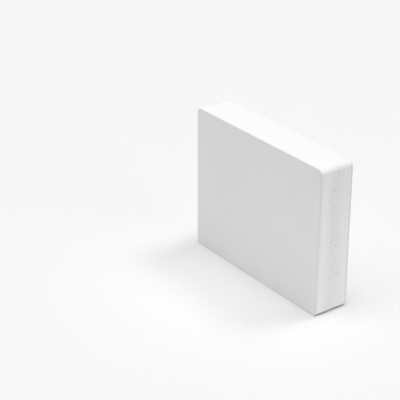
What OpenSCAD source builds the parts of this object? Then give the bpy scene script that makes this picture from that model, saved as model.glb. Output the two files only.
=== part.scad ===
// Rigid PVC foam board, cut to a hand-sized block that stands on its long edge.
// One solid, because the board is foamed and extruded in one piece: two smooth faces,
// a sawn rim all round, four rounded corners and a broken arris along every face edge.
// Length runs along X, thickness along Y and height along Z.
// The origin is on the ground, under the middle of the board. Sizes are in millimetres.

/* [Board] */
// Length along the ground
board_length = 100; // [60:1:240]
// Height above the ground
board_height = 80; // [40:1:200]
// Thickness between the two smooth faces
board_thickness = 20; // [8:0.5:40]

/* [Edges] */
// Radius of the four corners of the outline
corner_radius = 3; // [1:0.5:12]
// Width of the chamfer that breaks the arris between each face and the rim
arris_width = 0.4; // [0.1:0.1:0.8]

/* [Hidden] */
// Smoothness of the round corners
$fn = 96;

// Reach from the middle of the board to each smooth face
half_thickness = board_thickness / 2;
// Straight stretch of the rim along each side, between two corners
straight_length = board_length - 2 * corner_radius;
straight_height = board_height - 2 * corner_radius;

// Half of the board's section: from a centre line out to the rim, with both arrises broken.
module half_section(reach) {
    polygon([
        [0, -half_thickness],
        [reach - arris_width, -half_thickness],
        [reach, arris_width - half_thickness],
        [reach, half_thickness - arris_width],
        [reach - arris_width, half_thickness],
        [0, half_thickness]
    ]);
}

// Straight stretch of the slab: the full section of the given width, run along Y.
module slab_run(width, run) {
    rotate([90, 0, 0])
        linear_extrude(run, center = true) {
            half_section(width / 2);
            mirror([1, 0]) half_section(width / 2);
        }
}

// Round corner of the slab: the same half section, turned about the corner's own axis.
module slab_corner() {
    rotate_extrude() half_section(corner_radius);
}

// The whole slab lying flat: its outline in X and Y, its thickness along Z.
module slab() {
    slab_run(board_length, straight_height);
    rotate(90) slab_run(board_height, straight_length);
    for (side = [-1, 1], level = [-1, 1])
        translate([side * straight_length / 2, level * straight_height / 2, 0])
            slab_corner();
}

// The board, stood up on its long edge.
module board() {
    color("white")
        translate([0, 0, board_height / 2])
            rotate([90, 0, 0])
                slab();
}

board();
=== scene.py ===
"""Looks of a rigid PVC foam board: a sawn block that stands on its long edge, under soft studio light.

The board is one piece. Its two broad faces keep the closed skin that the extruder gave them. Its rim was
sawn, so the layers of the sheet show there and some of its cells lie open, most of them in the middle of
the sheet and none in the dense band under each skin.
Everything is in metres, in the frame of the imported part: length along X, thickness along Y and height
along Z, with the floor at Z = 0.
"""

import logging
import math
from dataclasses import dataclass, field
from enum import Enum
from typing import Any

import bmesh
import bpy
from mathutils import Euler, Matrix, Vector, noise


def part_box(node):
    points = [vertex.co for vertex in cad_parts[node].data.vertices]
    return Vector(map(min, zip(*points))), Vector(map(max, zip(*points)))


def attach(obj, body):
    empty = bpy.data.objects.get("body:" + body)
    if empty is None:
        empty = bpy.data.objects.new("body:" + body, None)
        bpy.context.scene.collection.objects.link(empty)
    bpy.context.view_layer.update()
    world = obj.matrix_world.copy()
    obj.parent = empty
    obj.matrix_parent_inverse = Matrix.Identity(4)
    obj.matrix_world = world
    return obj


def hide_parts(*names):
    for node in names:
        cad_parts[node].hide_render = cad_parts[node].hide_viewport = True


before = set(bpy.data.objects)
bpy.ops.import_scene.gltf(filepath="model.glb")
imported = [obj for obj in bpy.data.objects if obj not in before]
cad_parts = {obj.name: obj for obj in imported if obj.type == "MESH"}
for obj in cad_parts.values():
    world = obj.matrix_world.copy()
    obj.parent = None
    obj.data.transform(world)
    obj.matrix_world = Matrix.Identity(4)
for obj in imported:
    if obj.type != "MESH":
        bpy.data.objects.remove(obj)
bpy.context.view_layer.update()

MM = 0.001
LOG = logging.getLogger("foam_board")

# Places of the colour sockets on a Mix node: its two inputs and its output
MIX_FROM = 6
MIX_TO = 7
MIX_COLOUR = 2

# Light at which a white surface shows as full white, in watts for each square metre
FULL_WHITE = math.pi


class Surface(Enum):
    """The board's surfaces. Each value is the place of its finish in the piece's list of materials."""

    SKIN = 0
    SAWN = 1


class Axis(Enum):
    """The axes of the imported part, as places in a vector."""

    LENGTH = 0
    THICKNESS = 1
    HEIGHT = 2


class RimNote(Enum):
    """What the mesh notes at each vertex for the sawn finish. Each value is the name of an attribute.

    CROSS_CUT says how plainly the cut shows the sheet's layers, CELLULAR how much of the grain of the cells
    there is, and the last how much painted shade the dent of a cut cell takes on, more the further it is
    open.
    """

    CROSS_CUT = "cross_cut"
    CELLULAR = "cellular"
    DENT_SHADE = "open_cell"


class Detail(Enum):
    """How many finer layers a noise has on top of its own size."""

    PLAIN = 1.0
    FINE = 2.0
    CLOUDY = 3.0


def linear(code: str) -> tuple[float, float, float, float]:
    """Turns an sRGB colour into the linear one that shaders take, along the curve of the sRGB standard.

    Args:
        code: The colour as a hex value, such as "#F2F2F2".

    Returns:
        Linear red, green and blue, with an alpha of 1.
    """
    shares = [int(code[at:at + 2], 16) / 255 for at in (1, 3, 5)]
    red, green, blue = [s / 12.92 if s <= 0.04045 else ((s + 0.055) / 1.055) ** 2.4 for s in shares]
    return red, green, blue, 1.0


def add_node(tree: bpy.types.NodeTree, kind: str, inputs: dict[Any, Any] | None = None,
             **settings: Any) -> bpy.types.Node:
    """Adds a node to a tree, with its settings, its constant inputs and its links.

    Args:
        tree: The tree that takes the node.
        kind: The node's type, without its "ShaderNode" prefix.
        inputs: Names or places of input sockets, each with a constant or with the socket that feeds it.
        **settings: The node's own properties.

    Returns:
        The new node.
    """
    node = tree.nodes.new("ShaderNode" + kind)
    for name, value in settings.items():
        setattr(node, name, value)
    for socket, value in (inputs or {}).items():
        if isinstance(value, bpy.types.NodeSocket):
            tree.links.new(value, node.inputs[socket])
        else:
            node.inputs[socket].default_value = value
    return node


def new_material(name: str) -> tuple[bpy.types.Material, bpy.types.NodeTree]:
    """Makes an empty node material.

    Args:
        name: The material's name.

    Returns:
        The material and its empty tree.
    """
    material = bpy.data.materials.new(name)
    material.use_nodes = True
    material.node_tree.nodes.clear()
    return material, material.node_tree


def drawn_foam_pattern(tree: bpy.types.NodeTree, place: bpy.types.NodeSocket,
                       size: tuple[float, float, float]) -> bpy.types.NodeSocket:
    """Makes the uneven pattern of foam that was drawn out by its own amount along each axis.

    Args:
        tree: The material's tree.
        place: The socket of the object coordinates.
        size: Size of the pattern along the board's length, thickness and height.

    Returns:
        The socket of the pattern, about 0.5 on average.
    """
    scale = tuple(1 / part for part in size)
    drawn_out = add_node(tree, "Mapping", {"Vector": place, "Scale": scale}).outputs["Vector"]
    pattern = add_node(tree, "TexNoise", {"Vector": drawn_out, "Scale": 1.0, "Detail": Detail.FINE.value})
    return pattern.outputs["Fac"]


def seen_directly(tree: bpy.types.NodeTree) -> bpy.types.NodeSocket:
    """Tells the rays that the eye follows from those that carry light from one matt surface to another.

    Args:
        tree: The tree that takes the nodes.

    Returns:
        The socket of the answer: 1 for a camera ray, a gloss or a see-through, 0 for other rays.
    """
    path = add_node(tree, "LightPath").outputs
    seen = add_node(tree, "Math", {0: path["Is Camera Ray"], 1: path["Is Glossy Ray"]}, operation="MAXIMUM")
    shown = add_node(tree, "Math", {0: seen.outputs["Value"], 1: path["Is Transmission Ray"]},
                     operation="MAXIMUM")
    return shown.outputs["Value"]


def add_object(name: str, data: bpy.types.ID) -> bpy.types.Object:
    """Adds an object to the scene.

    Args:
        name: The object's name.
        data: The mesh, lamp or camera that it holds.

    Returns:
        The object, at the origin.
    """
    added = bpy.data.objects.new(name, data)
    bpy.context.scene.collection.objects.link(added)
    return added


def add_mesh(name: str, bm: bmesh.types.BMesh) -> bpy.types.Object:
    """Turns a finished bmesh into an object of the scene, and frees it.

    Args:
        name: The object's name.
        bm: The finished mesh.

    Returns:
        The object, at the origin.
    """
    mesh = bpy.data.meshes.new(name)
    bm.to_mesh(mesh)
    bm.free()
    return add_object(name, mesh)


def aimed(heading: float, elevation: float) -> Euler:
    """Turns a lamp or a camera from where it stands towards the board.

    Args:
        heading: Where it stands, in degrees from straight in front of the board towards its right end.
        elevation: How high it stands, in degrees above the floor.

    Returns:
        The turn.
    """
    return Euler((math.radians(90 - elevation), 0.0, math.radians(heading)))


@dataclass(frozen=True)
class ExtrudedSkin:
    """Foamed PVC as the extruder leaves it: a closed white skin, matt, with a soft sheen at low angles.

    The eye sees an even white, clouded a little where the foam under the skin is uneven, and faint lines of
    gloss along the way that the sheet left the die. The skin's own dimples are about 0.3 mm across, too fine
    to show, so they are drawn four times as wide.
    """

    name: str = "foamed_pvc_extruded_skin"
    colour: str = "#F2F2F2"
    cloud_colour: str = "#EEEEEE"
    cloud_size: float = 14 * MM
    ior: float = 1.53
    # Lines of gloss: their size along the length, thickness and height, the values of their pattern between
    # which the gloss changes, and the roughness at each
    flow_size: tuple[float, float, float] = (70 * MM, 2.2 * MM, 2.2 * MM)
    flow_range: tuple[float, float] = (0.3, 0.7)
    roughness: tuple[float, float] = (0.46, 0.58)
    dimple_size: float = 1.2 * MM
    dimple_depth: float = 0.012 * MM

    def material(self) -> bpy.types.Material:
        """Builds the skin's material.

        Returns:
            The material.
        """
        material, tree = new_material(self.name)
        place = add_node(tree, "TexCoord").outputs["Object"]
        clouds = add_node(tree, "TexNoise", {"Vector": place, "Scale": 1 / self.cloud_size,
                                             "Detail": Detail.CLOUDY.value})
        colour = add_node(tree, "Mix", {"Factor": clouds.outputs["Fac"], MIX_FROM: linear(self.colour),
                                        MIX_TO: linear(self.cloud_colour)}, data_type="RGBA")
        flow = drawn_foam_pattern(tree, place, self.flow_size)
        gloss = add_node(tree, "MapRange", {
            "Value": flow, "From Min": self.flow_range[0], "From Max": self.flow_range[1],
            "To Min": self.roughness[0], "To Max": self.roughness[1]})
        dimples = add_node(tree, "TexNoise", {"Vector": place, "Scale": 1 / self.dimple_size,
                                              "Detail": Detail.FINE.value})
        relief = add_node(tree, "Bump", {"Height": dimples.outputs["Fac"], "Distance": self.dimple_depth})
        shader = add_node(tree, "BsdfPrincipled", {
            "Base Color": colour.outputs[MIX_COLOUR], "Roughness": gloss.outputs["Result"], "IOR": self.ior,
            "Normal": relief.outputs["Normal"]})
        add_node(tree, "OutputMaterial", {"Surface": shader.outputs["BSDF"]})
        return material


@dataclass(frozen=True)
class SawnFoam:
    """Foamed PVC cut by a saw: a dull white rim that shows the sheet's layers and its open cells.

    The eye sees a thin grey line where each skin is cut, then a dense, smooth and lighter band, and then the
    cellular middle, a shade darker and grained. Faint streaks follow the layers. The foam was drawn out
    along the board's length as it was made, so its grain is short on the ends, and long and faint on the
    other sides. Real cells are about 0.2 mm across, too fine to show, so their grain is drawn four times
    as wide. The grain, the streaks and the dents of cut cells are darkened with a painted shade of the
    cells' hollows.
    """

    name: str = "foamed_pvc_sawn_edge"
    # Distance behind the front face, and the colour there
    layers: tuple[tuple[float, str], ...] = (
        # Front skin
        (0.4 * MM, "#E6E6E6"),
        # Dense band under it
        (1.4 * MM, "#F0F0F0"),
        (3.7 * MM, "#F2F2F2"),
        # Cellular middle
        (7.5 * MM, "#EDEDED"),
        (11.8 * MM, "#EDEDED"),
        # Dense band, with a darker line of flow in it
        (15.5 * MM, "#F1F1F1"),
        (16.5 * MM, "#EDEDED"),
        (18.4 * MM, "#F0F0F0"),
        # Back skin
        (19.2 * MM, "#E2E2E2"),
        (19.8 * MM, "#DCDCDC"),
    )
    # How far the layers wander from flat, and the length of one such wave
    wander: float = 0.35 * MM
    wander_length: float = 22 * MM
    # Colour of the cut where no layer shows, and the grey of painted shade at the bottom of a cell, which
    # the grain, the streaks and the dents take on
    plain_colour: str = "#F2F2F2"
    hollow_shade_colour: str = "#D8D8D8"
    ior: float = 1.53
    roughness: float = 0.75
    # Streaks, and after them the grain of the cells: their size along the length, thickness and height, the
    # values of their pattern between which they set in, the most of the painted shade of the cells' hollows
    # that they take on, and their depth
    streak_size: tuple[float, float, float] = (60 * MM, 0.8 * MM, 60 * MM)
    streak_range: tuple[float, float] = (0.4, 0.7)
    streak_share: float = 0.28
    streak_depth: float = 0.02 * MM
    grain_size: tuple[float, float, float] = (7 * MM, 0.85 * MM, 1.8 * MM)
    grain_range: tuple[float, float] = (0.44, 0.75)
    grain_share: float = 0.66
    grain_depth: float = 0.04 * MM

    def material(self, front: float, thickness: float) -> bpy.types.Material:
        """Builds the sawn rim's material.

        Args:
            front: Place of the board's front face along its thickness.
            thickness: The board's thickness.

        Returns:
            The material.
        """
        material, tree = new_material(self.name)
        place = add_node(tree, "TexCoord").outputs["Object"]
        cross_cut, cellular, open_cell = [
            add_node(tree, "Attribute", attribute_name=note.value).outputs["Fac"] for note in RimNote]
        layers = add_node(tree, "Mix", {
            "Factor": cross_cut, MIX_FROM: linear(self.plain_colour),
            MIX_TO: self._layer_colour(tree, place, front, thickness)}, data_type="RGBA")
        streaks = drawn_foam_pattern(tree, place, self.streak_size)
        grain = drawn_foam_pattern(tree, place, self.grain_size)
        shade = self._cell_shade(tree, streaks, grain, cross_cut, cellular)
        # Painted shade of the cells' hollows, in the grain, the streaks and the dents of cut cells
        darkened = add_node(tree, "Math", {0: shade, 1: open_cell}, operation="ADD", use_clamp=True)
        colour = add_node(tree, "Mix", {
            "Factor": darkened.outputs["Value"], MIX_FROM: layers.outputs[MIX_COLOUR],
            MIX_TO: linear(self.hollow_shade_colour)}, data_type="RGBA")
        cut = add_node(tree, "Bump", {"Height": streaks, "Distance": self.streak_depth}, invert=True)
        relief = add_node(tree, "Bump", {"Strength": cellular, "Height": grain, "Distance": self.grain_depth,
                                         "Normal": cut.outputs["Normal"]}, invert=True)
        shader = add_node(tree, "BsdfPrincipled", {
            "Base Color": colour.outputs[MIX_COLOUR], "Roughness": self.roughness, "IOR": self.ior,
            "Normal": relief.outputs["Normal"]})
        add_node(tree, "OutputMaterial", {"Surface": shader.outputs["BSDF"]})
        return material

    def _layer_colour(self, tree: bpy.types.NodeTree, place: bpy.types.NodeSocket, front: float,
                      thickness: float) -> bpy.types.NodeSocket:
        """Colours the rim by layer, from the front face to the back, with layers that wander a little.

        Args:
            tree: The material's tree.
            place: The socket of the object coordinates.
            front: Place of the board's front face along its thickness.
            thickness: The board's thickness.

        Returns:
            The socket of the colour.
        """
        across = add_node(tree, "SeparateXYZ", {"Vector": place}).outputs["Y"]
        behind = add_node(tree, "Math", {0: across, 1: front}, operation="SUBTRACT").outputs["Value"]
        drift = add_node(tree, "TexNoise", {"Vector": place, "Scale": 1 / self.wander_length,
                                            "Detail": Detail.PLAIN.value})
        wander = add_node(tree, "MapRange", {"Value": drift.outputs["Fac"], "To Min": -self.wander,
                                             "To Max": self.wander}).outputs["Result"]
        wandered = add_node(tree, "Math", {0: behind, 1: wander}, operation="ADD").outputs["Value"]
        share = add_node(tree, "MapRange", {"Value": wandered, "From Max": thickness}).outputs["Result"]
        ramp = add_node(tree, "ValToRGB", {"Fac": share})
        while len(ramp.color_ramp.elements) < len(self.layers):
            ramp.color_ramp.elements.new(1.0)
        for element, (depth, code) in zip(ramp.color_ramp.elements, self.layers):
            element.position = depth / thickness
            element.color = linear(code)
        return ramp.outputs["Color"]

    def _cell_shade(self, tree: bpy.types.NodeTree, streaks: bpy.types.NodeSocket,
                    grain: bpy.types.NodeSocket, cross_cut: bpy.types.NodeSocket,
                    cellular: bpy.types.NodeSocket) -> bpy.types.NodeSocket:
        """Adds up how much painted shade of the cells' hollows the streaks and the grain take on.

        Args:
            tree: The material's tree.
            streaks: The socket of the streaks' pattern.
            grain: The socket of the grain's pattern.
            cross_cut: The socket of how plainly the cut shows the layers.
            cellular: The socket of how much of the grain there is.

        Returns:
            The socket of the sum.
        """
        streak_share = add_node(tree, "Math", {0: cross_cut, 1: self.streak_share}, operation="MULTIPLY")
        streaked = add_node(tree, "MapRange", {
            "Value": streaks, "From Min": self.streak_range[0], "From Max": self.streak_range[1],
            "To Max": streak_share.outputs["Value"]}).outputs["Result"]
        grained = add_node(tree, "MapRange", {
            "Value": grain, "From Min": self.grain_range[0], "From Max": self.grain_range[1],
            "To Max": self.grain_share}).outputs["Result"]
        shade = add_node(tree, "Math", {0: grained, 1: cellular, 2: streaked}, operation="MULTIPLY_ADD")
        return shade.outputs["Value"]


@dataclass
class FoamBoard:
    """The board: a slab with round corners, soft arrises and a sawn rim with open cells.

    The cells are scattered through the foam, drawn out along its length and coarser in some patches than in
    others. The saw cut the rim through some of them, and each one that it cut leaves a dent, painted darker
    as shade in its hollow.
    """

    skin: ExtrudedSkin
    sawn: SawnFoam
    name: str = "foam_board"
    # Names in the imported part: the node that the piece stands for, its body and its material slot
    node: str = "board"
    body: str = "root"
    slot: str = "foam"
    # Lowest and highest corner of the node
    low: Vector = field(init=False)
    high: Vector = field(init=False)
    # Round corners of the outline, and the soft arris round each broad face
    corner_radius: float = 3 * MM
    corner_segments: int = 15
    arris_width: float = 0.4 * MM
    arris_segments: int = 3
    # Width of the quads on the broad faces and on the rim
    face_step: float = 2.85 * MM
    rim_step: float = 0.32 * MM
    # Spacing of the cells along the board and across it, wider than the real one so that they show
    cell_length: float = 4.4 * MM
    cell_width: float = 1.1 * MM
    # A cell's radius is this one times a random factor: the average, give or take 1. A cell with a factor
    # below 0 leaves no dent. The scatter spreads out the places that the factors are drawn from
    cell_radius: float = 0.42 * MM
    cell_average: float = 0.5
    cell_scatter: float = 7.31
    # Depth of a dent as a share of how far its cell is cut open, and how much painted shade of the cell's
    # hollow it takes on where that is a whole radius
    dent_share: float = 0.2
    hollow_shade_share: float = 0.42
    # Depth under the nearer skin where the cells begin, and where they are at their fullest
    cells_from: float = 3.8 * MM
    cells_full: float = 8.6 * MM
    # Size of the patches of coarser and finer foam, and how far they differ
    patch_size: float = 13 * MM
    patch_share: float = 1.1
    # How plainly the long sides show layers and cells, because they were cut along the run of the sheet
    rip_share: float = 0.22
    # Least share of a broad face's normal along the thickness, and the slack in telling lengths apart
    broad_share: float = 0.99
    weld: float = 0.001 * MM

    def __post_init__(self) -> None:
        """Takes the board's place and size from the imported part."""
        self.low, self.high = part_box(self.node)

    @property
    def size(self) -> Vector:
        """Length, thickness and height of the board."""
        return self.high - self.low

    @property
    def centre(self) -> Vector:
        """The middle of the board."""
        return (self.low + self.high) / 2

    @property
    def half_thickness(self) -> float:
        """Distance from the board's middle plane to each broad face."""
        return self.size.y / 2

    def build(self) -> bpy.types.Object:
        """Models the board, dresses it and hands it to the frame.

        Returns:
            The finished piece.
        """
        bm = bmesh.new()
        self._shape_slab(bm)
        self._grid_faces(bm)
        self._divide_rim(bm)
        self._assign_surfaces(bm)
        self._open_cells(bm)
        piece = add_mesh(self.name, bm)
        self.dress(piece)
        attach(piece, self.body)
        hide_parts(self.node)
        return piece

    def dress(self, piece: bpy.types.Object) -> None:
        """Gives the piece its finishes, in the order of its surfaces.

        Args:
            piece: The modelled board.
        """
        finishes = {Surface.SKIN: self.skin.material(),
                    Surface.SAWN: self.sawn.material(self.low.y, self.size.y)}
        for surface in Surface:
            piece.data.materials.append(finishes[surface])

    def _runs_along(self, edge: bmesh.types.BMEdge, axis: Axis) -> bool:
        """Says whether an edge runs along one axis of the part."""
        span = edge.verts[1].co - edge.verts[0].co
        return abs(span[axis.value]) > span.length - self.weld

    def _is_broad(self, face: bmesh.types.BMFace) -> bool:
        """Says whether a face lies on one of the two broad faces."""
        return abs(face.normal.y) > self.broad_share

    def _cross_cut_share(self, vert: bmesh.types.BMVert) -> float:
        """Says how plainly the cut shows the layers and cells: all on an end, less on a long side."""
        outward = vert.normal.xz.normalized()
        return self.rip_share + (1 - self.rip_share) * outward.x ** 2

    def _cellular_share(self, vert: bmesh.types.BMVert) -> float:
        """Says how cellular the foam is at a point.

        Args:
            vert: The point.

        Returns:
            0 in the dense band under each skin, 1 in the middle of the sheet.
        """
        depth = self.half_thickness - abs(vert.co.y - self.centre.y)
        share = (depth - self.cells_from) / (self.cells_full - self.cells_from)
        return min(max(share, 0.0), 1.0)

    def _coarseness(self, vert: bmesh.types.BMVert) -> float:
        """Says how coarse the foam is at a point, from 0 up, and about 1 on average."""
        return max(1 + self.patch_share * noise.noise(vert.co / self.patch_size), 0.0)

    def _opening(self, vert: bmesh.types.BMVert, share: float) -> float:
        """Says how far a cell is cut open at a point.

        Args:
            vert: The point.
            share: How large the cells are there, from 0 up.

        Returns:
            The distance from the point to the rim of its cell, or 0 where no cell is cut.
        """
        place = vert.co / self.cell_width
        place.x = vert.co.x / self.cell_length
        distances, cells = noise.voronoi(place)
        radius = self.cell_radius * share * (self.cell_average + noise.cell(cells[0] * self.cell_scatter))
        return max(radius - distances[0] * self.cell_width, 0.0)

    def _shape_slab(self, bm: bmesh.types.BMesh) -> None:
        """Cuts the slab: a box with four round corners, then a soft arris round both broad faces.

        Args:
            bm: The empty mesh that takes the slab.
        """
        place = Matrix.Translation(self.centre) @ Matrix.Diagonal((*self.size, 1.0))
        bmesh.ops.create_cube(bm, size=1.0, matrix=place)
        corners = [edge for edge in bm.edges if self._runs_along(edge, Axis.THICKNESS)]
        bmesh.ops.bevel(bm, geom=corners, offset=self.corner_radius, offset_type="OFFSET", affect="EDGES",
                        segments=self.corner_segments, profile=0.5, material=-1)
        outline = [edge for edge in bm.edges if not self._runs_along(edge, Axis.THICKNESS)]
        bmesh.ops.bevel(bm, geom=outline, offset=self.arris_width, offset_type="OFFSET", affect="EDGES",
                        segments=self.arris_segments, profile=0.5, material=-1)

    def _grid_faces(self, bm: bmesh.types.BMesh) -> None:
        """Slices the slab across its length and its height, so that the faces are a grid of even quads.

        Args:
            bm: The slab.
        """
        for axis in (Axis.LENGTH, Axis.HEIGHT):
            first = self.low[axis.value] + self.corner_radius
            last = self.high[axis.value] - self.corner_radius
            count = round((last - first) / self.face_step)
            normal = Vector()
            normal[axis.value] = 1.0
            for index in range(1, count):
                point = self.centre.copy()
                point[axis.value] = first + (last - first) * index / count
                bmesh.ops.bisect_plane(bm, geom=[*bm.verts, *bm.edges, *bm.faces], dist=self.weld,
                                       plane_co=point, plane_no=normal)

    def _divide_rim(self, bm: bmesh.types.BMesh) -> None:
        """Divides the rim finely, across the thickness and then along the outline.

        Args:
            bm: The gridded slab.
        """
        across = [edge for edge in bm.edges if self._runs_along(edge, Axis.THICKNESS)]
        rows = round(2 * (self.half_thickness - self.arris_width) / self.rim_step)
        bmesh.ops.subdivide_edges(bm, edges=across, cuts=rows - 1, use_grid_fill=True)
        along = [edge for edge in bm.edges
                 if edge.calc_length() > self.face_step / 2
                 and not all(self._is_broad(face) for face in edge.link_faces)]
        columns = round(self.face_step / self.rim_step)
        bmesh.ops.subdivide_edges(bm, edges=along, cuts=columns - 1, use_grid_fill=True)

    def _assign_surfaces(self, bm: bmesh.types.BMesh) -> None:
        """Gives every face its finish, and a crease where a broad face ends.

        Args:
            bm: The divided slab.
        """
        bm.normal_update()
        for face in bm.faces:
            surface = Surface.SKIN if self._is_broad(face) else Surface.SAWN
            face.material_index = surface.value
            face.smooth = True
        for edge in bm.edges:
            edge.smooth = len({face.material_index for face in edge.link_faces}) == 1

    def _open_cells(self, bm: bmesh.types.BMesh) -> None:
        """Sinks the rim where the saw cut a cell open, and notes at each vertex what the finish needs.

        Args:
            bm: The slab with its surfaces assigned.
        """
        cross_cut, cellular, open_cell = [bm.verts.layers.float.new(note.value) for note in RimNote]
        dents = []
        for vert in bm.verts:
            vert[cross_cut] = self._cross_cut_share(vert)
            share = vert[cross_cut] * self._cellular_share(vert) * self._coarseness(vert)
            if share == 0.0:
                continue
            opening = self._opening(vert, share)
            vert[cellular] = share
            # Painted shade in the dent, the more the further its cell is cut open
            vert[open_cell] = self.hollow_shade_share * opening / self.cell_radius
            dents.append((vert, vert.normal * opening * self.dent_share))
        for vert, dent in dents:
            vert.co -= dent
        bm.normal_update()


@dataclass(frozen=True)
class Floor:
    """A plain pale floor of matt paper, wide enough to reach the horizon of every view."""

    name: str = "floor"
    finish: str = "matt_paper_floor"
    colour: str = "#EDEDED"
    roughness: float = 0.9
    gloss: float = 0.0
    radius: float = 30.0
    segments: int = 64

    def build(self) -> bpy.types.Object:
        """Lays the floor under the board.

        Returns:
            The floor.
        """
        bm = bmesh.new()
        bmesh.ops.create_circle(bm, cap_ends=True, radius=self.radius, segments=self.segments)
        floor = add_mesh(self.name, bm)
        self.dress(floor)
        return floor

    def dress(self, floor: bpy.types.Object) -> None:
        """Gives the floor its plain finish.

        Args:
            floor: The floor.
        """
        material, tree = new_material(self.finish)
        shader = add_node(tree, "BsdfPrincipled", {
            "Base Color": linear(self.colour), "Roughness": self.roughness,
            "Specular IOR Level": self.gloss})
        add_node(tree, "OutputMaterial", {"Surface": shader.outputs["BSDF"]})
        floor.data.materials.append(material)


@dataclass(frozen=True)
class SoftLight:
    """A wide, distant light: the same all over the floor, with soft shadows.

    The level is the share of full white that it gives to a white surface turned straight towards it. The
    heading and elevation say where it stands, as aimed takes them, and the spread is how wide it looks from
    the board, in degrees.
    """

    name: str
    level: float
    heading: float
    elevation: float
    spread: float

    def build(self) -> bpy.types.Object:
        """Hangs the light.

        Returns:
            The lamp.
        """
        lamp = bpy.data.lights.new(self.name, "SUN")
        lamp.energy = self.level * FULL_WHITE
        lamp.angle = math.radians(self.spread)
        light = add_object(self.name, lamp)
        light.rotation_euler = aimed(self.heading, self.elevation)
        return light


@dataclass(frozen=True)
class LowSpot:
    """A soft-edged spot that lifts the foot of the near corner, as light thrown back by a bright floor does.

    The level is the share of full white that it gives to a white surface turned straight towards it, at the
    point where it aims. The cone is its full angle in degrees. No view shows the lamp itself.
    """

    name: str
    level: float
    aim: tuple[float, float, float]
    heading: float
    elevation: float
    distance: float = 1.2
    cone: float = 7.0
    edge: float = 1.0
    lamp_radius: float = 0.02

    def build(self) -> bpy.types.Object:
        """Hangs the spot.

        Returns:
            The lamp.
        """
        lamp = bpy.data.lights.new(self.name, "SPOT")
        # The lamp's power spreads over a whole sphere on its way to the aim
        lamp.energy = self.level * FULL_WHITE * 4 * math.pi * self.distance ** 2
        lamp.spot_size = math.radians(self.cone)
        lamp.spot_blend = self.edge
        lamp.shadow_soft_size = self.lamp_radius
        light = add_object(self.name, lamp)
        turn = aimed(self.heading, self.elevation)
        light.rotation_euler = turn
        light.location = Vector(self.aim) + turn.to_matrix() @ Vector((0.0, 0.0, self.distance))
        light.visible_camera = False
        return light


@dataclass(frozen=True)
class Studio:
    """A white room: soft lights, a little light from all round, and the pale wall seen past the floor."""

    name: str = "white_room"
    room_colour: str = "#FFFFFF"
    room_level: float = 0.15
    # Colour of the wall, and the strength at which it shows as that colour
    wall_colour: str = "#F7F7F7"
    wall_level: float = 1.0
    lights: tuple[SoftLight | LowSpot, ...] = (
        SoftLight("overhead_light", level=0.395, heading=0.0, elevation=90.0, spread=30.0),
        SoftLight("front_light", level=0.235, heading=8.0, elevation=75.0, spread=40.0),
        SoftLight("left_light", level=0.13, heading=-36.0, elevation=30.0, spread=60.0),
        SoftLight("back_light", level=0.265, heading=170.0, elevation=65.0, spread=20.0),
        SoftLight("right_light", level=0.205, heading=100.0, elevation=4.0, spread=20.0),
        LowSpot("low_spot", level=0.094, aim=(0.05, -0.01, 0.006), heading=66.0, elevation=2.0),
    )

    def build(self) -> bpy.types.World:
        """Lights the scene.

        Returns:
            The room.
        """
        for light in self.lights:
            light.build()
        world = bpy.data.worlds.new(self.name)
        bpy.context.scene.world = world
        world.use_nodes = True
        tree = world.node_tree
        tree.nodes.clear()
        room = add_node(tree, "Background", {"Color": linear(self.room_colour), "Strength": self.room_level})
        wall = add_node(tree, "Background", {"Color": linear(self.wall_colour), "Strength": self.wall_level})
        mixed = add_node(tree, "MixShader", {0: seen_directly(tree), 1: room.outputs["Background"],
                                             2: wall.outputs["Background"]})
        add_node(tree, "OutputWorld", {"Surface": mixed.outputs["Shader"]})
        return world


@dataclass(frozen=True)
class PhotoCamera:
    """The camera that took the board: where it stood, how far it looked down and how long its lens was."""

    name: str = "photo_camera"
    # Its place in metres, its turn in degrees, and its focal length in pixels of the image
    location: tuple[float, float, float] = (0.47579, -0.38965, 0.3391)
    heading: float = 54.048
    pitch: float = 25.797
    focal_pixels: float = 1325.6
    image_pixels: float = 400.0
    sensor_mm: float = 36.0

    def build(self) -> bpy.types.Object:
        """Sets the camera up and makes it the scene's own.

        Returns:
            The camera.
        """
        data = bpy.data.cameras.new(self.name)
        data.sensor_width = self.sensor_mm
        data.lens = self.sensor_mm * self.focal_pixels / self.image_pixels
        camera = add_object(self.name, data)
        camera.location = self.location
        camera.rotation_euler = aimed(self.heading, self.pitch)
        bpy.context.scene.camera = camera
        return camera


def main() -> None:
    """Builds the board, its floor, its light and its camera."""
    logging.basicConfig(level=logging.INFO, format="%(name)s: %(message)s")
    bpy.context.scene.view_settings.view_transform = "Standard"
    piece = FoamBoard(skin=ExtrudedSkin(), sawn=SawnFoam()).build()
    LOG.info("%s: %d faces", piece.name, len(piece.data.polygons))
    floor = Floor().build()
    LOG.info("%s laid", floor.name)
    room = Studio().build()
    LOG.info("%s lit", room.name)
    camera = PhotoCamera().build()
    LOG.info("%s set, lens %.1f mm", camera.name, camera.data.lens)


if __name__ == "__main__":
    main()
